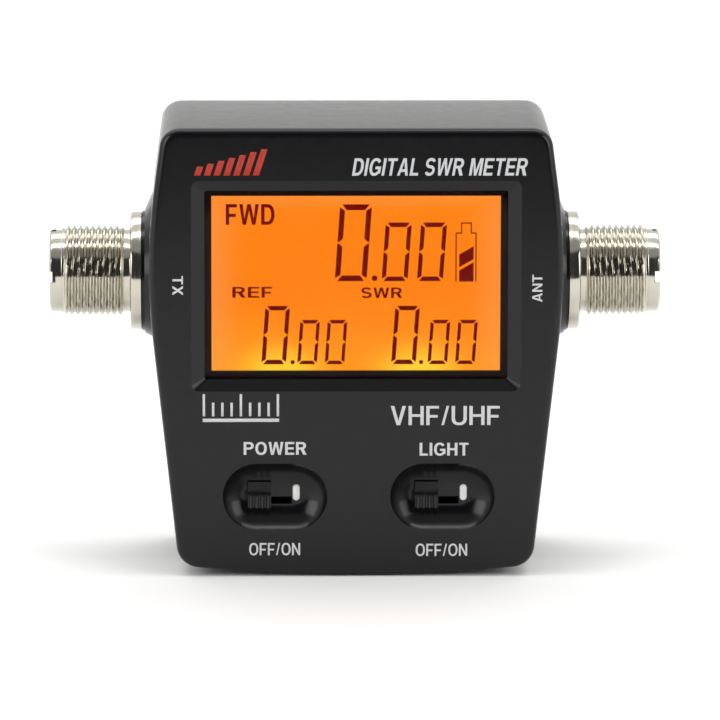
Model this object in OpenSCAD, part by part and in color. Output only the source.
// Digital SWR and power meter for two-way radio.
// A wedge-sided plastic case with a coaxial jack on each side, a back-lit display,
// two slide switches and a rear battery compartment.
// X runs along the jacks, the display faces -Y and Z is up. Lengths are millimetres.
// The origin is under the middle of the case, at the lowest point of its curved bottom edge.

/* [Case] */
// Height of the case
case_h = 78.5; // [77.5:0.5:94.5]
// Depth of the case from the display face to the flat back
case_d = 35; // [34:0.5:43]
// Width of the case along its top edge, before the corners are rounded
top_w = 66.8; // [66:0.2:72]
// Width of the case where its two slanted sides would meet
waist_w = 73.1; // [72.4:0.1:76]
// Height at which the slanted sides would meet, down from the top edge
waist_drop = 23.7; // [22:0.1:26]
// Width of the case along its bottom edge, before the corners are rounded
bottom_w = 61.4; // [60:0.2:66]
// Thickness of the plastic walls
wall = 2.2; // [1.8:0.1:2.7]
// Radius of the two top corners
top_corner_r = 3.6; // [2.4:0.1:4]
// Radius of the two bottom corners
bottom_corner_r = 4; // [3:0.1:5]
// Radius that blends the two slanted sides
waist_r = 110; // [90:1:130]
// Radius of the curved bottom edge
bottom_arc_r = 260; // [240:5:300]
// Slope at which the bottom edge meets its corners, in degrees
bottom_tilt = 5; // [4:0.1:5.4]
// Rounding of the front rim
front_round = 1.3; // [0.8:0.1:1.6]
// Rounding of the rear rim
rear_round = 0.8; // [0.5:0.1:1.2]
// Depth of the rear cover
cover_d = 4.5; // [4.2:0.1:5.5]
// Overlap of the rear cover's lip inside the front case
lip_d = 1.6; // [1:0.1:2.2]
// Thickness of the lip
lip_t = 1.2; // [0.8:0.1:1.5]
// Radius of the case screw posts
post_r = 2.4; // [2.2:0.1:2.8]

/* [Coaxial jacks] */
// Height of the jack axis, down from the top edge
jack_drop = 27.6; // [26.6:0.1:29]
// Outside radius of the 5/8-24 coupling thread
thread_r = 7.9375; // [7.8:0.0125:8]
// Length of the coupling thread
thread_l = 10.9; // [9:0.1:13]
// Length of the plain undercut between the thread and the flange
undercut_l = 1.05; // [0.8:0.05:1.6]
// Radius of the plain undercut
undercut_r = 7.2; // [7:0.1:7.4]
// Radius of the notched nose
nose_r = 7.2; // [6.9:0.05:7.5]
// Length of the notched nose
nose_l = 2.1; // [1.6:0.1:3]
// Width of the four locating notches in the nose
notch_w = 2; // [1.4:0.1:2.6]
// Radius of the round flange
flange_r = 10.3; // [9.6:0.1:11]
// Thickness of the round flange
flange_t = 2.1; // [1.6:0.1:2.6]
// Radius of the jack's mouth
mouth_r = 6.2; // [6:0.1:6.4]
// Radius of the neck that passes through the case wall
neck_r = 6; // [5.6:0.1:6.4]
// Radius of the spigot that holds the coupler box
spigot_r = 4.5; // [4.3:0.1:4.8]
// Radius of the white insulator in the mouth
insulator_r = 4.1; // [3.8:0.1:4.3]
// Radius of the insulator inside the neck
insulator_neck_r = 3.4; // [3.1:0.1:3.6]
// Outside radius of the centre contact
contact_r = 2.9; // [2.7:0.05:3]
// Bore radius of the centre contact, which takes a plug's 4 mm pin
contact_bore_r = 2.02; // [2.01:0.005:2.05]
// Depth of the centre contact's bore
contact_bore_l = 9; // [7:0.1:10]
// Radius of the contact's solder pin
contact_pin_r = 1.2; // [1:0.05:1.4]
// Height of the raised pad around each jack
pad_proud = 1.3; // [1:0.1:1.8]
// Radius of the pad's flat face
pad_r = 10.5; // [10.4:0.1:11.5]
// Height of the disc that stands on the pad's sloped foot
pad_step = 0.45; // [0.3:0.05:0.6]
// Extra radius of the pad at its foot
pad_slope = 1.2; // [0.8:0.1:1.6]
// Extra length of the ramp that runs up the side above the pad
pad_ramp = 2.9; // [2:0.1:3.6]
// Distance across the flats of the jack nut
nut_af = 16; // [15:0.5:17]
// Thickness of the jack nut
nut_t = 3; // [2.4:0.1:3.4]
// Thickness of the lock washer
washer_t = 0.8; // [0.5:0.1:1]

/* [Display] */
// Width of the lit area
view_w = 49.9; // [41:0.1:51]
// Height of the lit area
view_h = 30.6; // [25:0.1:31]
// Dark margin of the display panel that shows around the lit area
view_margin = 1.2; // [0.8:0.1:1.4]
// Width of the sloped frame at the opening's sides
frame_slope_w = 2.3; // [1.6:0.1:2.6]
// Height of the sloped frame above and below the opening
frame_slope_h = 1.9; // [1.4:0.1:2.3]
// Depth of the sloped frame
frame_depth = 1.3; // [0.9:0.1:1.5]
// Corner radius of the sloped frame
frame_corner_r = 1.4; // [1:0.1:2]
// Thickness of the clear window
window_t = 1; // [0.8:0.1:1.2]
// Thickness of the liquid crystal panel
panel_t = 2.2; // [1.8:0.1:2.4]
// Thickness of the diffuser sheet
diffuser_t = 0.3; // [0.2:0.05:0.4]
// Thickness of the light guide
guide_t = 2.7; // [2.2:0.1:2.9]

/* [Switches] */
// Distance of the power switch recess to the left of the middle
power_x = 14; // [13:0.1:15]
// Distance of the light switch recess to the right of the middle
light_x = 15; // [13:0.1:15.5]
// Height of both switch recesses
switch_z = 14.1; // [13.5:0.1:15.2]
// Length of a switch recess
recess_w = 18.2; // [17:0.1:19]
// Height of a switch recess
recess_h = 11.8; // [11:0.1:12.2]
// Depth to which the dished wall would run without its flat floor
dish_depth = 3; // [2.8:0.05:3.2]
// Depth of the recess floor
recess_depth = 2.6; // [2.4:0.05:2.7]
// Thickness of the recess floor
recess_floor_t = 1.2; // [1:0.1:1.4]
// Width of a switch knob
knob_w = 4; // [3.6:0.1:4.4]
// Height of a switch knob
knob_h = 4.4; // [4:0.1:4.6]
// Distance of a knob in its off position to the left of the recess middle
knob_off_x = 2.7; // [2.5:0.1:2.9]
// Travel of a switch knob
knob_travel = 3.7; // [3:0.1:3.8]
// Number of grip ribs on a knob
knob_ribs = 4; // [3:1:5]
// Width of a white on-marker
marker_w = 1.3; // [1:0.1:1.5]
// Height of a white on-marker
marker_h = 2.9; // [2.4:0.1:3.2]

/* [Battery compartment] */
// Diameter of a battery cell
cell_d = 10.5; // [8.7:0.1:10.6]
// Length of a battery cell
cell_l = 44.5; // [37:0.5:45]
// Number of battery cells
cell_count = 3; // [2:1:3]
// Thickness of the compartment walls
box_wall = 1.2; // [1:0.1:1.4]
// Length left for a compressed spring
spring_l = 3.6; // [3:0.1:4]
// Thickness of the battery door
door_t = 1.5; // [1.3:0.1:1.7]
// Width of the ledge that the battery door closes on
door_ledge = 1; // [0.8:0.1:1.1]

/* [Electronics] */
// Width of the circuit board
board_w = 51; // [49:0.5:51]
// Thickness of the circuit board
board_t = 1.6; // [1.2:0.1:1.8]
// Width of the coupler box along the jacks
coupler_w = 52.8; // [51:0.2:53.4]
// Depth of the coupler box behind the jack axis
coupler_rear_d = 6.2; // [6:0.05:6.3]
// Height of the coupler box
coupler_h = 15; // [14:0.5:16]
// Wall of the coupler box
coupler_wall = 0.9; // [0.7:0.1:1]
// Radius of the coupler's line conductor
line_r = 2.2; // [2:0.1:2.6]

/* [Clearances] */
// Gap around a piece that is placed in a pocket
place_gap = 0.15; // [0.1:0.05:0.2]
// Gap around a piece that slides
slide_gap = 0.3; // [0.25:0.05:0.35]
// Gap around a piece that is pressed or soldered in
press_gap = 0.05; // [0.03:0.01:0.08]

/* [Hidden] */
$fn = 48;

// Overlap that makes two shapes one, and overshoot of a cut past a face
join = 0.1;
over = 1;

// Main planes and heights
front_y = -case_d / 2;
back_y = case_d / 2;
split_y = back_y - cover_d;
inner_front_y = front_y + wall;
inner_back_y = back_y - wall;
jack_z = case_h - jack_drop;
waist_z = case_h - waist_drop;

// Case outline, as corners in X and Z that are rounded by the radii beside them
bottom_vertex_z = -bottom_arc_r * (1 / cos(bottom_tilt) - 1);
bottom_corner_z = bottom_vertex_z + bottom_w / 2 * tan(bottom_tilt);
case_corners = [
    [-bottom_w / 2, bottom_corner_z],
    [0, bottom_vertex_z],
    [bottom_w / 2, bottom_corner_z],
    [waist_w / 2, waist_z],
    [top_w / 2, case_h],
    [-top_w / 2, case_h],
    [-waist_w / 2, waist_z],
];
case_radii = [
    bottom_corner_r, bottom_arc_r, bottom_corner_r, waist_r, top_corner_r, top_corner_r, waist_r,
];
case_arc_steps = [6, 10, 6, 10, 6, 6, 10];
rim_steps = 4;

// Display stack, from the face inwards
opening_w = view_w + 2 * view_margin;
opening_h = view_h + 2 * view_margin;
panel_edge_w = 1.5;
panel_edge_h = 1;
window_edge_w = 1.5;
window_edge_h = 1.6;
opening_corner_r = 0.4;
panel_w = opening_w + panel_edge_w;
panel_h = opening_h + panel_edge_h;
window_w = panel_w + window_edge_w;
window_h = panel_h + window_edge_h;
display_z = jack_z + 0.2;
window_y = inner_front_y;
panel_y = window_y + window_t + 0.1;
diffuser_y = panel_y + panel_t;
guide_y = diffuser_y + diffuser_t;
holder_t = 1.1;
holder_back_t = 0.8;
holder_back_y = guide_y + guide_t + 0.1;
board_y = holder_back_y + holder_back_t;
board_back_y = board_y + board_t;
connector_h = 1.4;
guide_z0 = display_z - view_h / 2 - 0.1;
guide_z1 = display_z + view_h / 2 + 0.1;
led_h = 1.5;
led_w = 3.2;
led_spread = 12;

// Circuit board and its fixings
board_z0 = 7.6;
board_z1 = case_h - wall - 2.4;
board_screw_r = 1;
board_screw_l = 5;
board_screw_head_r = 1.8;
board_screw_head_t = 1.2;
standoff_r = 2.1;
standoff_x = board_w / 2 - 3;
standoff_top_z = board_z1 - 1.8;
standoff_low_z = switch_z + 14.1;
crystal_w = 10.5;
crystal_h = 4.2;
crystal_t = 3;
capacitor_r = 2;
capacitor_t = 4.4;
capacitor_places = [for (p = [[17.5, 5], [5.5, -5], [-13.5, -4], [12, -5]]) [p[0], standoff_low_z + p[1]]];
trimmer_xs = [-11, -3.5, 4.5, 12];
trimmer_z = board_z1 - 6;
trimmer_w = 4.8;
trimmer_t = 4;
trimmer_dish_r = 1.6;
trimmer_dish_d = 0.6;
standoffs = [for (x = [-standoff_x, standoff_x]) for (z = [standoff_low_z, standoff_top_z]) [x, z]];

// Switches
recess_xs = [-power_x, light_x];
dish_r = (pow(recess_h / 2, 2) + pow(dish_depth, 2)) / (2 * dish_depth);
recess_end_x = (recess_w - recess_h) / 2;
floor_y = front_y + recess_depth;
floor_back_y = floor_y + recess_floor_t;
recess_back_h = recess_h - 1;
slot_drop = 1.1;
slot_h = 1.3;
neck_w = 3.2;
neck_h = slot_h - 2 * 0.2;
slot_l = neck_w + knob_travel + 2 * slide_gap;
slot_mid_x = -knob_off_x + knob_travel / 2;
knob_front_y = front_y + 0.6;
knob_back_y = floor_y - slide_gap;
knob_round_r = 2.6;
knob_round_y = knob_back_y - 1.8;
knob_base_t = 0.6;
rib_share = 0.4;
marker_x = slot_mid_x + slot_l / 2 + 0.15 + marker_w / 2;
marker_z = 0.25;
switch_front_y = floor_back_y + 0.3;
switch_w = 12;
switch_h = 5.2;
switch_wall = 0.7;
slider_w = 4;
slider_h = 2.6;
slider_t = 1.4;
slider_y = switch_front_y + switch_wall + slide_gap;
terminal_pitch = 3;
terminal_r = 0.4;

// Case screws
post_end_y = split_y - lip_d - 0.4;
post_bore_r = 1.15;
screw_r = 1.1;
screw_head_r = 2;
screw_head_t = 1.5;
screw_seat_y = back_y - 3;
screw_l = 10;
boss_r = 2.9;
upper_post_z = case_h - 5.8;
lower_post_z = jack_z - 26.4;
upper_post_x = side_x(upper_post_z) - wall - post_r + 0.2;
lower_post_x = side_x(lower_post_z) - wall - post_r + 0.2;
post_places = [
    for (s = [-1, 1]) [s * lower_post_x, lower_post_z],
    for (s = [-1, 1]) [s * upper_post_x, upper_post_z],
];

// Jacks, as distances along X from the middle
side_at_jack = side_x(jack_z);
pad_x = side_at_jack + pad_proud;
pad_back_x = side_at_jack - wall - 1.1;
flange_x = pad_x + flange_t;
thread_x = flange_x + undercut_l;
nose_x = thread_x + thread_l;
jack_end_x = nose_x + nose_l;
mouth_depth = 10.6;
web_x = jack_end_x - mouth_depth;
washer_x = pad_back_x - washer_t;
nut_x = washer_x - nut_t;
neck_end_x = nut_x - 0.9;
spigot_end_x = coupler_w / 2 - coupler_wall - 0.4;
insulator_end_x = jack_end_x - 2;
contact_end_x = insulator_end_x - 0.4;
contact_step_x = contact_end_x - contact_bore_l - 1;
contact_tail_x = coupler_w / 2 - 8.5;
line_half_l = contact_tail_x + 4;

// Coupler
coupler_front_y = board_back_y + 0.3;
coupler_back_y = coupler_rear_d;
lid_t = 0.8;
lid_screw_r = 0.8;
lid_screw_head_r = 1.5;
lid_screw_head_t = 0.9;
lid_post_w = 3;
lid_places = [
    for (sx = [-1, 1]) for (sz = [-1, 1])
        [sx * (coupler_w / 2 - 4.5), jack_z + sz * (coupler_h / 2 - coupler_wall - lid_post_w / 2)],
];
pickup_t = 1;
pickup_y = coupler_front_y + coupler_wall + 0.3;
pickup_w = 30;
pickup_h = 9;
detector_x = 11;
diode_size = [2.6, 1.4, 1.1];
resistor_size = [3.2, 1.6, 0.6];
header_pitch = 2.54;
header_count = 4;
header_pin = 0.64;
header_places = [for (i = [0:header_count - 1]) [(i - (header_count - 1) / 2) * header_pitch, jack_z + 3]];

// Battery compartment
contact_t = 0.4;
plate_w = 8.4;
lead_r = 0.55;
lead_sides = 8;
spring_r = 3.6;
spring_wire = 0.6;
spring_turns = 3;
cell_cap_l = 0.8;
cell_cap_r = 1.9;
door_y = back_y - door_t;
box_half_l = cell_l / 2 + spring_l / 2 + contact_t + 0.15;
cell_pitch = cell_d + 0.3;
box_low_z = wall + bottom_corner_z + 1.3;
box_top_z = box_low_z + cell_count * cell_pitch + 0.3;
cell_y = door_y - 0.5 - cell_d / 2 - 1.6;
box_floor_y = cell_y - cell_d / 2 - 0.2;
door_half_w = box_half_l + door_ledge;
door_low_z = box_low_z - door_ledge * 0.8;
door_top_z = box_top_z + door_ledge * 0.8;
door_gap = 0.25;
tab_w = 6;
tab_x = 12;
tab_t = 1.1;
tab_reach = 1.7;
tab_y = door_y - 0.3 - tab_t;
finger_w = 9;
finger_r = 3.8;
grip_l = 14;
grip_h = 0.7;
grip_pitch = 1.6;
grip_d = 0.35;
label_w = 40;
label_h = 18;
label_t = 0.3;
label_z = jack_z + 3;

// ---------- shared geometry ----------

function unit(v) = v / norm(v);

// Half the angle between the edges that meet at corner b
function half_angle(a, b, c) = acos(unit(a - b) * unit(c - b)) / 2;

// Point on the bisector of corner b that lies d inside both edges
function inset_corner(a, b, c, d) =
    b + unit(unit(a - b) + unit(c - b)) * d / sin(half_angle(a, b, c));

// Turn from angle a to angle b by the short way
function short_turn(a, b) = (b - a + 540) % 360 - 180;

// Arc that rounds corner b with radius r
function corner_arc(a, b, c, r, steps) =
    let (
        centre = inset_corner(a, b, c, r),
        reach = r / tan(half_angle(a, b, c)),
        start = b + unit(a - b) * reach - centre,
        stop = b + unit(c - b) * reach - centre,
        from = atan2(start[1], start[0]),
        turn = short_turn(from, atan2(stop[1], stop[0]))
    )
    [for (i = [0:steps]) centre + r * [cos(from + turn * i / steps), sin(from + turn * i / steps)]];

// Case outline moved inwards by inset
function case_outline(inset) =
    let (
        n = len(case_corners),
        moved = [
            for (i = [0:n - 1])
                inset_corner(case_corners[(i + n - 1) % n], case_corners[i], case_corners[(i + 1) % n], inset)
        ]
    )
    [
        for (i = [0:n - 1])
            each corner_arc(
                moved[(i + n - 1) % n], moved[i], moved[(i + 1) % n],
                max(case_radii[i] - inset, 0.3), case_arc_steps[i]
            )
    ];

// Half width of the case at height z, on its lower side, waist arc or upper side
function side_x(z) =
    let (
        low = case_corners[2],
        mid = case_corners[3],
        top = case_corners[4],
        centre = inset_corner(low, mid, top, waist_r),
        reach = waist_r / tan(half_angle(low, mid, top)),
        arc_low = mid + unit(low - mid) * reach,
        arc_top = mid + unit(top - mid) * reach
    )
    z < arc_low[1] ? low[0] + (mid[0] - low[0]) * (z - low[1]) / (mid[1] - low[1])
    : z > arc_top[1] ? mid[0] + (top[0] - mid[0]) * (z - mid[1]) / (top[1] - mid[1])
    : centre[0] + sqrt(pow(waist_r, 2) - pow(z - centre[1], 2));

// Extrudes an outline drawn in X and Z from y0 to y1
module along_y(y0, y1) {
    translate([0, y1, 0]) rotate([90, 0, 0]) linear_extrude(y1 - y0) children();
}

// Cylinder along +X between two distances
module x_rod(x0, x1, r) {
    translate([x0, 0, 0]) rotate([0, 90, 0]) cylinder(h = x1 - x0, r = r);
}

// Cylinder along Y at a place in X and Z
module y_rod(place, y0, y1, r) {
    translate([place[0], y1, place[1]]) rotate([90, 0, 0]) cylinder(h = y1 - y0, r = r);
}

// Box centred on a place in X and Z, from y0 to y1
module y_box(place, w, h, y0, y1) {
    translate([place[0] - w / 2, y0, place[1] - h / 2]) cube([w, y1 - y0, h]);
}

// Rectangle with round corners, centred on the origin
module round_rect(w, h, r) {
    polygon([
        for (q = [0:3]) for (i = [0:6])
            let (a = 90 * q + 15 * i)
            [sign(cos(90 * q + 45)) * (w / 2 - r), sign(sin(90 * q + 45)) * (h / 2 - r)]
                + r * [cos(a), sin(a)]
    ]);
}

// Slot shape with round ends, long side along X
module stadium(w, h) {
    square([w - h, h], center = true);
    for (s = [-1, 1]) translate([s * (w - h) / 2, 0]) circle(d = h);
}

// ---------- case ----------

// Case from y0 to y1 with its outer rim rounded at y0, or at y1 when rear is true
module case_block(y0, y1, rim, rear) {
    hull()
        for (k = [0:rim_steps]) {
            inset = rim * (1 - sin(90 * k / rim_steps));
            back_off = rim * (1 - cos(90 * k / rim_steps));
            along_y(y0 + (rear ? 0 : back_off), y1 - (rear ? back_off : 0))
                polygon(case_outline(inset));
        }
}

// Dished cut of a switch recess, centred on its own middle
module switch_dish() {
    intersection() {
        union() {
            for (s = [-1, 1])
                translate([s * recess_end_x, front_y + dish_depth - dish_r, 0]) sphere(r = dish_r);
            translate([-recess_end_x, front_y + dish_depth - dish_r, 0])
                rotate([0, 90, 0]) cylinder(h = 2 * recess_end_x, r = dish_r);
        }
        translate([-recess_w, front_y - 1, -recess_h]) cube([2 * recess_w, recess_depth + 1, 2 * recess_h]);
    }
}

module front_case() {
    color([0.06, 0.06, 0.065])
    difference() {
        union() {
            difference() {
                case_block(front_y, split_y, front_round, false);
                along_y(inner_front_y, split_y + over) polygon(case_outline(wall));
            }
            for (x = recess_xs)
                translate([x, 0, switch_z]) along_y(inner_front_y - join, floor_back_y)
                    stadium(recess_w - 1, recess_back_h);
            for (p = standoffs) y_rod(p, inner_front_y - join, board_y, standoff_r);
            for (p = post_places) y_rod(p, inner_front_y - join, post_end_y, post_r);
            for (s = [-1, 1]) side_of(s) translate([0, 0, jack_z]) {
                x_rod(pad_x - pad_step - join, pad_x, pad_r);
                pad_foot();
                x_rod(pad_back_x, pad_x - pad_proud, pad_r - 0.2);
            }
        }
        hull() {
            translate([0, 0, display_z]) along_y(front_y - 0.5, front_y)
                round_rect(opening_w + 2 * frame_slope_w, opening_h + 2 * frame_slope_h, frame_corner_r);
            translate([0, 0, display_z]) along_y(front_y - 0.5, front_y + frame_depth)
                round_rect(opening_w, opening_h, opening_corner_r);
        }
        translate([0, 0, display_z]) along_y(front_y, inner_front_y + over)
            round_rect(opening_w, opening_h, opening_corner_r);
        for (x = recess_xs) translate([x, 0, switch_z]) {
            switch_dish();
            y_box([slot_mid_x, -slot_drop], slot_l, slot_h, floor_y - 0.5, floor_back_y + 0.5);
            translate([marker_x, 0, marker_z]) along_y(floor_y - 0.5, floor_back_y + 0.5)
                rotate(90) stadium(marker_h + 2 * press_gap, marker_w + 2 * press_gap);
        }
        for (p = standoffs) y_rod(p, board_y - board_screw_l, board_y + over, board_screw_r + press_gap);
        for (p = post_places) y_rod(p, post_end_y - screw_l + 1, post_end_y + over, post_bore_r);
        for (s = [-1, 1]) side_of(s) translate([0, 0, jack_z])
            x_rod(pad_back_x - over, pad_x + over, neck_r + place_gap);
    }
}

// Sloped foot of the right-hand pad, with a ramp towards the top of the case
module pad_foot() {
    hull() {
        x_rod(pad_x - pad_step - join, pad_x - pad_step, pad_r + pad_slope * 0.3);
        translate([pad_x - pad_proud - 0.8, 0, 0]) rotate([90, 0, 90]) linear_extrude(join)
            polygon([
                for (i = [0:59])
                    let (a = 6 * i, r = pad_r + pad_slope + pad_ramp * pow(max(0, sin(a)), 3))
                    [r * cos(a), r * sin(a)]
            ]);
    }
}

// Mirrors a right-hand piece to the left when s is negative
module side_of(s) {
    if (s < 0) mirror([1, 0, 0]) children();
    else children();
}

module rear_cover() {
    color([0.06, 0.06, 0.065])
    difference() {
        union() {
            difference() {
                case_block(split_y, back_y, rear_round, true);
                along_y(split_y - over, inner_back_y) polygon(case_outline(wall));
            }
            difference() {
                along_y(split_y - lip_d, inner_back_y + join) polygon(case_outline(wall + place_gap));
                along_y(split_y - lip_d - over, inner_back_y + over)
                    polygon(case_outline(wall + place_gap + lip_t));
            }
            intersection() {
                for (p = post_places) y_rod(p, post_end_y + 0.2, inner_back_y + join, boss_r);
                along_y(post_end_y, inner_back_y + over) polygon(case_outline(wall + place_gap));
            }
            y_box(
                [0, (box_low_z + box_top_z) / 2],
                2 * (box_half_l + box_wall), box_top_z - box_low_z + 2 * box_wall,
                box_floor_y - box_wall, inner_back_y + join
            );
        }
        y_box([0, (box_low_z + box_top_z) / 2], 2 * box_half_l, box_top_z - box_low_z,
            box_floor_y, back_y + over);
        y_box([0, (door_low_z + door_top_z) / 2], 2 * door_half_w, door_top_z - door_low_z,
            door_y, back_y + over);
        for (s = [-1, 1])
            y_box([s * tab_x, box_top_z + 1.2], tab_w + 1, 3, tab_y - 2.4, door_y);
        for (p = post_places) {
            y_rod(p, post_end_y - over, back_y + over, screw_r + place_gap);
            y_rod(p, screw_seat_y, back_y + over, screw_head_r + slide_gap);
        }
        for (p = solder_tabs) y_box([p[0], p[1]], 5, 2.3, p[2] - 0.35, p[2] + 0.35);
        y_box([0, label_z], label_w + 2 * place_gap, label_h + 2 * place_gap,
            back_y - label_t, back_y + over);
    }
}

module battery_door() {
    color([0.07, 0.07, 0.075])
    difference() {
        union() {
            y_box(
                [0, (door_low_z + door_top_z) / 2],
                2 * (door_half_w - door_gap), door_top_z - door_low_z - 2 * door_gap,
                door_y, back_y
            );
            for (s = [-1, 1]) {
                y_box([s * tab_x, box_top_z - 0.8 + tab_reach / 2], tab_w, 2 + tab_reach,
                    tab_y, tab_y + tab_t);
                y_box([s * tab_x, box_top_z - 1.3], tab_w, 1, tab_y, door_y + join);
            }
        }
        translate([0, back_y + 3, door_low_z + 4.4]) x_rod(-finger_w / 2, finger_w / 2, finger_r);
        for (i = [0:4])
            y_box([0, door_low_z + 11 + grip_pitch * i], grip_l, grip_h, back_y - grip_d, back_y + over);
    }
}

module case_screws() {
    color("dimgray")
    for (p = post_places) difference() {
        union() {
            y_rod(p, screw_seat_y - screw_l, screw_seat_y, screw_r);
            y_rod(p, screw_seat_y, screw_seat_y + screw_head_t, screw_head_r);
        }
        for (a = [0, 90])
            translate([p[0], screw_seat_y + screw_head_t, p[1]]) rotate([0, a, 0])
                cube([0.5, 1.6, 2.4], center = true);
    }
}

module rear_label() {
    color("silver") y_box([0, label_z], label_w, label_h, back_y - label_t, back_y);
}

// ---------- display ----------

module display_window() {
    color([0.8, 0.85, 0.85, 0.4]) y_box([0, display_z], window_w, window_h, window_y, window_y + window_t);
}

module lcd_panel() {
    color("darkorange") y_box([0, display_z], panel_w, panel_h, panel_y, panel_y + panel_t);
}

module diffuser_sheet() {
    color("white")
    translate([-panel_w / 2, diffuser_y, guide_z0]) cube([panel_w, diffuser_t, guide_z1 - guide_z0]);
}

module light_guide() {
    color("orange")
    translate([-panel_w / 2, guide_y, guide_z0]) cube([panel_w, guide_t, guide_z1 - guide_z0]);
}

module lcd_holder() {
    color([0.1, 0.1, 0.1])
    difference() {
        y_box([0, display_z], panel_w + 2 * holder_t, panel_h + 2 * holder_t, panel_y, board_y);
        y_box([0, display_z], panel_w + 0.2, panel_h + 0.2, panel_y - over, holder_back_y);
        y_box([0, guide_z1 + 0.2 + connector_h / 2], view_w - 1, connector_h + 0.3,
            holder_back_y - over, board_y + over);
        for (s = [-1, 1])
            y_box([s * led_spread, guide_z0 - led_h / 2 - 0.1], led_w + 0.4, led_h + 0.2,
                holder_back_y - over, board_y + over);
    }
}

module lcd_connector() {
    color("lightpink")
    y_box([0, guide_z1 + 0.2 + connector_h / 2], view_w - 2, connector_h, diffuser_y, board_y);
}

module backlight_leds() {
    color("lightyellow")
    for (s = [-1, 1])
        y_box([s * led_spread, guide_z0 - led_h / 2 - 0.1], led_w, led_h, guide_y + 0.3, board_y);
}

// ---------- circuit board ----------

module main_board() {
    color("seagreen")
    difference() {
        translate([-board_w / 2, board_y, board_z0]) cube([board_w, board_t, board_z1 - board_z0]);
        for (p = standoffs) y_rod(p, board_y - over, board_back_y + over, board_screw_r + place_gap);
        for (x = recess_xs) for (i = [-1:1])
            y_rod([x + slot_mid_x + terminal_pitch * i, switch_z - slot_drop],
                board_y - over, board_back_y + over, terminal_r + 0.1);
        for (p = header_places) y_rod(p, board_y - over, board_back_y + over, header_pin * 0.8);
    }
}

module board_screws() {
    color("silver")
    for (p = standoffs) {
        y_rod(p, board_back_y - board_screw_l, board_back_y, board_screw_r);
        difference() {
            y_rod(p, board_back_y, board_back_y + board_screw_head_t, board_screw_head_r);
            translate([p[0], board_back_y + board_screw_head_t, p[1]]) cube([3.2, 1.2, 0.5], center = true);
        }
    }
}

// Chip with a body and a row of leads along its two upright sides, seated on the board's back
module chip(place, w, h, t, leads) {
    y_box(place, w, h, board_back_y + 0.15, board_back_y + t);
    pitch = h / leads;
    for (s = [-1, 1]) for (i = [0:leads - 1])
        y_box([place[0] + s * (w / 2 + 0.3), place[1] - h / 2 + pitch * (i + 0.5)], 1, pitch * 0.45,
            board_back_y, board_back_y + 0.5);
}

module microcontroller() {
    color([0.12, 0.12, 0.13]) chip([-4, standoff_low_z + 3], 9, 9, 1.5, 12);
}

module amplifier_chip() {
    color([0.12, 0.12, 0.13]) chip([12, standoff_low_z + 3], 4, 5, 1.5, 4);
}

module voltage_regulator() {
    color([0.12, 0.12, 0.13]) chip([-17, standoff_low_z + 8], 3.4, 3, 1.4, 2);
}

module quartz_crystal() {
    color("silver")
    translate([-4, 0, standoff_low_z - 6]) along_y(board_back_y, board_back_y + crystal_t)
        stadium(crystal_w, crystal_h);
}

module board_capacitors() {
    color("gray")
    for (p = capacitor_places) y_rod(p, board_back_y, board_back_y + capacitor_t, capacitor_r);
}

module calibration_trimmers() {
    dish_y = board_back_y + trimmer_t - trimmer_dish_d;
    color("royalblue")
    for (x = trimmer_xs) difference() {
        y_box([x, trimmer_z], trimmer_w, trimmer_w, board_back_y, board_back_y + trimmer_t);
        y_rod([x, trimmer_z], dish_y, dish_y + over, trimmer_dish_r);
        translate([x, dish_y, trimmer_z]) cube([2.4, 0.8, 0.5], center = true);
    }
}

// Row of pins that joins the board to the coupler's pick-up board
module coupler_header() {
    color("gold")
    for (p = header_places) y_box(p, header_pin, header_pin, board_y + 0.3, pickup_y);
}

// ---------- switches ----------

// Slide switch housing behind a recess whose middle is at x
module switch_body(x) {
    translate([x + slot_mid_x, 0, switch_z - slot_drop]) {
        difference() {
            y_box([0, 0], switch_w, switch_h, switch_front_y, board_y);
            y_box([0, 0], slot_l + 0.2, slot_h + 0.2, switch_front_y - over, slider_y);
            y_box([0, 0], slider_w + knob_travel + 2 * slide_gap, slider_h + 2 * slide_gap,
                slider_y - slide_gap, slider_y + slider_t + slide_gap);
        }
        for (i = [-1:1]) y_rod([terminal_pitch * i, 0], board_y - join, board_back_y + 0.8, terminal_r);
    }
}

// Ribbed knob in its off position, with its neck and the slider inside the housing
module switch_knob(x) {
    rib_back_y = (knob_front_y + knob_back_y) / 2 + 0.3;
    rib_pitch = knob_w / knob_ribs;
    translate([x - knob_off_x, 0, switch_z]) {
        intersection() {
            y_box([0, 0], knob_w, knob_h, knob_front_y, knob_back_y);
            translate([0, knob_round_y, 0]) x_rod(-knob_w / 2, knob_w / 2, knob_round_r);
        }
        y_box([0, 0], knob_w, knob_h, knob_back_y - knob_base_t, knob_back_y);
        for (i = [0:knob_ribs - 1])
            y_box([(i - (knob_ribs - 1) / 2) * rib_pitch, 0], rib_pitch * rib_share, knob_h * 0.7,
                knob_front_y, rib_back_y);
        y_box([0, -slot_drop], neck_w, neck_h, knob_back_y - join, slider_y + join);
        y_box([0, -slot_drop], slider_w, slider_h, slider_y, slider_y + slider_t);
    }
}

// White marker pressed into a recess floor beside the on position
module on_marker(x) {
    translate([x + marker_x, 0, switch_z + marker_z]) along_y(floor_y - 0.1, floor_back_y)
        rotate(90) stadium(marker_h, marker_w);
}

module power_switch_body() {
    color([0.2, 0.2, 0.2]) switch_body(-power_x);
}

module power_knob() {
    color([0.09, 0.09, 0.1]) switch_knob(-power_x);
}

module power_marker() {
    color("white") on_marker(-power_x);
}

module light_switch_body() {
    color([0.2, 0.2, 0.2]) switch_body(light_x);
}

module light_knob() {
    color([0.09, 0.09, 0.1]) switch_knob(light_x);
}

module light_marker() {
    color("white") on_marker(light_x);
}

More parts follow.
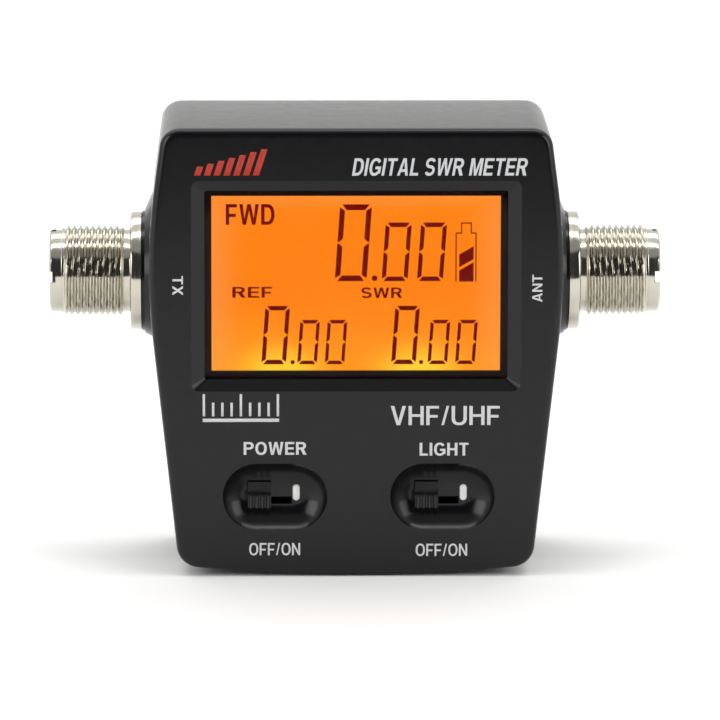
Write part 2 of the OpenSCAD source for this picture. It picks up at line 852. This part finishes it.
// ---------- coupler ----------

module coupler_box() {
    color([0.75, 0.75, 0.72])
    difference() {
        y_box([0, jack_z], coupler_w, coupler_h, coupler_front_y, coupler_back_y);
        difference() {
            y_box([0, jack_z], coupler_w - 2 * coupler_wall, coupler_h - 2 * coupler_wall,
                coupler_front_y + coupler_wall, coupler_back_y + over);
            for (p = lid_places)
                y_box(p, lid_post_w + 0.4, lid_post_w + 0.2, coupler_back_y - 6, coupler_back_y + over);
        }
        for (p = lid_places) y_rod(p, coupler_back_y - 5, coupler_back_y + over, lid_screw_r + press_gap);
        translate([0, 0, jack_z]) x_rod(-coupler_w, coupler_w, spigot_r + press_gap);
        y_box([0, jack_z + 3], header_pitch * header_count + 0.6, 1.8,
            coupler_front_y - over, coupler_front_y + coupler_wall + join);
    }
}

module coupler_lid() {
    color([0.78, 0.78, 0.75])
    difference() {
        y_box([0, jack_z], coupler_w, coupler_h, coupler_back_y, coupler_back_y + lid_t);
        for (p = lid_places) y_rod(p, coupler_back_y - over, coupler_back_y + 2, lid_screw_r + place_gap);
    }
}

module coupler_lid_screws() {
    color("silver")
    for (p = lid_places) {
        y_rod(p, coupler_back_y - 3, coupler_back_y + lid_t, lid_screw_r);
        difference() {
            y_rod(p, coupler_back_y + lid_t, coupler_back_y + lid_t + lid_screw_head_t, lid_screw_head_r);
            translate([p[0], coupler_back_y + lid_t + lid_screw_head_t, p[1]])
                cube([2.6, 0.8, 0.4], center = true);
        }
    }
}

// Line conductor whose bored ends slip over the contacts' solder pins
module coupler_line() {
    color("gold")
    translate([0, 0, jack_z]) difference() {
        x_rod(-line_half_l, line_half_l, line_r);
        for (s = [-1, 1]) side_of(s) x_rod(contact_tail_x - 0.3, line_half_l + 1, contact_pin_r + press_gap);
    }
}

module pickup_board() {
    color("seagreen") y_box([0, jack_z], pickup_w, pickup_h, pickup_y, pickup_y + pickup_t);
}

module detector_diodes() {
    color([0.15, 0.15, 0.15])
    for (s = [-1, 1])
        y_box([s * detector_x, jack_z + 3], diode_size[0], diode_size[1],
            pickup_y + pickup_t, pickup_y + pickup_t + diode_size[2]);
}

module load_resistors() {
    color([0.1, 0.1, 0.1])
    for (s = [-1, 1])
        y_box([s * detector_x, jack_z - 3], resistor_size[0], resistor_size[1],
            pickup_y + pickup_t, pickup_y + pickup_t + resistor_size[2]);
}

// ---------- jacks, drawn on the right-hand side ----------

module jack_shell() {
    translate([0, 0, jack_z]) difference() {
        union() {
            x_rod(spigot_end_x, neck_end_x + join, spigot_r);
            x_rod(neck_end_x, pad_x + join, neck_r);
            x_rod(pad_x, flange_x, flange_r);
            x_rod(flange_x - join, thread_x + join, undercut_r);
            x_rod(thread_x, nose_x, thread_r);
            x_rod(nose_x - join, jack_end_x, nose_r);
        }
        x_rod(web_x, jack_end_x + over, mouth_r);
        x_rod(spigot_end_x - over, web_x + over, insulator_neck_r + press_gap);
        for (a = [0, 90]) rotate([a, 0, 0])
            translate([nose_x + nose_l / 2, -nose_r - over, -notch_w / 2])
                cube([nose_l, 2 * (nose_r + over), notch_w]);
    }
}

module jack_insulator() {
    translate([0, 0, jack_z]) difference() {
        union() {
            x_rod(web_x, insulator_end_x, insulator_r);
            x_rod(spigot_end_x - 0.2, web_x + join, insulator_neck_r);
        }
        x_rod(contact_step_x, insulator_end_x + over, contact_r + press_gap);
        x_rod(spigot_end_x - over, contact_step_x + over, contact_pin_r + press_gap);
    }
}

module jack_contact() {
    translate([0, 0, jack_z]) difference() {
        union() {
            x_rod(contact_step_x, contact_end_x, contact_r);
            x_rod(contact_tail_x, contact_step_x + join, contact_pin_r);
        }
        x_rod(contact_end_x - contact_bore_l, contact_end_x + over, contact_bore_r);
    }
}

module jack_washer() {
    translate([0, 0, jack_z]) difference() {
        x_rod(washer_x, pad_back_x, nut_af / 2 + 0.6);
        x_rod(washer_x - over, pad_back_x + over, neck_r + place_gap);
        for (a = [0:30:330]) rotate([a, 0, 0])
            translate([washer_x - over, nut_af / 2 - 0.1, -0.6]) cube([washer_t + 2, 2, 1.2]);
    }
}

module jack_nut() {
    translate([0, 0, jack_z]) difference() {
        translate([nut_x, 0, 0]) rotate([0, 90, 0]) cylinder(h = nut_t, r = nut_af / 2 / cos(30), $fn = 6);
        x_rod(nut_x - over, washer_x + over, neck_r + press_gap);
    }
}

module tx_jack_shell() {
    color([0.78, 0.76, 0.7]) mirror([1, 0, 0]) jack_shell();
}

module tx_insulator() {
    color("white") mirror([1, 0, 0]) jack_insulator();
}

module tx_contact() {
    color("gold") mirror([1, 0, 0]) jack_contact();
}

module tx_washer() {
    color("silver") mirror([1, 0, 0]) jack_washer();
}

module tx_nut() {
    color("silver") mirror([1, 0, 0]) jack_nut();
}

module ant_jack_shell() {
    color([0.78, 0.76, 0.7]) jack_shell();
}

module ant_insulator() {
    color("white") jack_insulator();
}

module ant_contact() {
    color("gold") jack_contact();
}

module ant_washer() {
    color("silver") jack_washer();
}

module ant_nut() {
    color("silver") jack_nut();
}

// ---------- battery compartment ----------

// Height of cell i, counted from the bottom
function cell_z(i) = box_low_z + 0.3 + cell_pitch * (i - 0.5) - 0.15;

// Side of the compartment at which cell i has its positive end
function cell_side(i) = i % 2 == 1 ? 1 : -1;

// Solder tabs, as [x, z, y]: negative beside the first cell, positive beside the last
solder_tabs = [
    [-cell_side(1) * (box_half_l + box_wall), cell_z(1), cell_y],
    [cell_side(cell_count) * (box_half_l + box_wall), cell_z(cell_count), cell_y],
];

// Cell i, with its spring at its negative end
module battery_cell(i) {
    s = cell_side(i);
    plus_x = box_half_l - contact_t - 0.1;
    translate([0, cell_y, cell_z(i)]) side_of(s) {
        x_rod(plus_x - cell_l, plus_x - cell_cap_l, cell_d / 2);
        x_rod(plus_x - cell_cap_l - join, plus_x, cell_cap_r);
    }
}

module battery_cell_1() {
    color([0.75, 0.6, 0.25]) battery_cell(1);
}

module battery_cell_2() {
    color([0.75, 0.6, 0.25]) battery_cell(2);
}

module battery_cell_3() {
    if (cell_count > 2) color([0.75, 0.6, 0.25]) battery_cell(3);
}

// Coil spring along +X, from a point list swept with a square section
module coil(r, wire, length, turns) {
    steps = 14;
    rings = turns * steps;
    points = [
        for (k = [0:rings]) for (j = [0:3])
            let (
                a = 360 * k / steps,
                rr = r * (1 - 0.35 * k / rings) + wire / 2 * cos(90 * j + 45),
                x = (length - wire) * k / rings + wire / 2 + wire / 2 * sin(90 * j + 45)
            )
            [x, rr * cos(a), rr * sin(a)]
    ];
    faces = [
        [3, 2, 1, 0],
        for (k = [0:rings - 1]) for (j = [0:3])
            each [
                [4 * k + j, 4 * k + (j + 1) % 4, 4 * k + 4 + j],
                [4 * k + (j + 1) % 4, 4 * k + 4 + (j + 1) % 4, 4 * k + 4 + j],
            ],
        [4 * rings, 4 * rings + 1, 4 * rings + 2, 4 * rings + 3],
    ];
    polyhedron(points, faces, convexity = 4);
}

module battery_springs() {
    color("silver")
    for (i = [1:cell_count])
        translate([0, cell_y, cell_z(i)]) side_of(-cell_side(i))
            translate([box_half_l - contact_t, 0, 0]) mirror([1, 0, 0])
                coil(spring_r, spring_wire, spring_l - 0.1, spring_turns);
}

// Contact plates: one at each free end of the chain and one across each pair of cells
module battery_contacts() {
    color("silver") {
        for (i = [1:cell_count - 1])
            translate([0, cell_y, (cell_z(i) + cell_z(i + 1)) / 2]) side_of(cell_side(i))
                translate([box_half_l - contact_t, -plate_w / 2, -(cell_pitch + plate_w) / 2])
                    cube([contact_t, plate_w, cell_pitch + plate_w]);
        for (k = [0, 1]) {
            p = solder_tabs[k];
            s = p[0] < 0 ? -1 : 1;
            translate([0, cell_y, p[1]]) side_of(s) {
                translate([box_half_l - contact_t, -plate_w / 2, -plate_w / 2])
                    cube([contact_t, plate_w, plate_w]);
                translate([box_half_l - join, -0.2, -1]) cube([box_wall + 1.6, 0.4, 2]);
            }
        }
    }
}

// Routes of the two battery leads from their solder tabs to the back of the board
negative_route = [
    [solder_tabs[0][0] - 0.9, cell_y - 0.4, solder_tabs[0][1]],
    [solder_tabs[0][0] - 1.2, cell_y - 3, solder_tabs[0][1] + 0.6],
    [solder_tabs[0][0] - 1, (cell_y + board_back_y) / 2, solder_tabs[0][1] + 2],
    [solder_tabs[0][0] + 0.6, board_back_y + 3, solder_tabs[0][1] + 4],
    [solder_tabs[0][0] + 2.4, board_back_y + 1.4, solder_tabs[0][1] + 5],
    [solder_tabs[0][0] + 2.4, board_back_y + 0.1, solder_tabs[0][1] + 5],
];
positive_route = [
    [solder_tabs[1][0] + 0.9, cell_y - 0.4, solder_tabs[1][1]],
    [solder_tabs[1][0] + 1.2, cell_y - 3, solder_tabs[1][1] + 0.4],
    [solder_tabs[1][0] + 1, (cell_y + board_back_y) / 2, solder_tabs[1][1] + 1],
    [solder_tabs[1][0] - 0.6, board_back_y + 3, solder_tabs[1][1] + 1.6],
    [solder_tabs[1][0] - 2.4, board_back_y + 1.4, solder_tabs[1][1] + 2],
    [solder_tabs[1][0] - 2.4, board_back_y + 0.1, solder_tabs[1][1] + 2],
];

// Round tube along a route, as one closed sweep with its rings square to the route
module sweep(route, r, sides) {
    n = len(route);
    points = [
        for (k = [0:n - 1])
            let (
                ahead = route[min(k + 1, n - 1)] - route[max(k - 1, 0)],
                u = unit(cross(ahead, [0, 0, 1])),
                v = unit(cross(u, ahead))
            )
            for (j = [0:sides - 1]) route[k] + r * (cos(360 * j / sides) * u + sin(360 * j / sides) * v)
    ];
    faces = [
        [for (j = [0:sides - 1]) j],
        for (k = [0:n - 2]) for (j = [0:sides - 1])
            each [
                [sides * k + j, sides * (k + 1) + j, sides * k + (j + 1) % sides],
                [sides * k + (j + 1) % sides, sides * (k + 1) + j, sides * (k + 1) + (j + 1) % sides],
            ],
        [for (j = [0:sides - 1]) sides * (n - 1) + sides - 1 - j],
    ];
    polyhedron(points, faces, convexity = 4);
}

module positive_lead() {
    color("red") sweep(positive_route, lead_r, lead_sides);
}

module negative_lead() {
    color([0.05, 0.05, 0.05]) sweep(negative_route, lead_r, lead_sides);
}

front_case();
rear_cover();
battery_door();
case_screws();
rear_label();
display_window();
lcd_panel();
diffuser_sheet();
light_guide();
lcd_holder();
lcd_connector();
backlight_leds();
main_board();
board_screws();
microcontroller();
amplifier_chip();
voltage_regulator();
quartz_crystal();
board_capacitors();
calibration_trimmers();
coupler_header();
power_switch_body();
power_knob();
power_marker();
light_switch_body();
light_knob();
light_marker();
coupler_box();
coupler_lid();
coupler_lid_screws();
coupler_line();
pickup_board();
detector_diodes();
load_resistors();
tx_jack_shell();
tx_insulator();
tx_contact();
tx_washer();
tx_nut();
ant_jack_shell();
ant_insulator();
ant_contact();
ant_washer();
ant_nut();
battery_cell_1();
battery_cell_2();
battery_cell_3();
battery_springs();
battery_contacts();
positive_lead();
negative_lead();
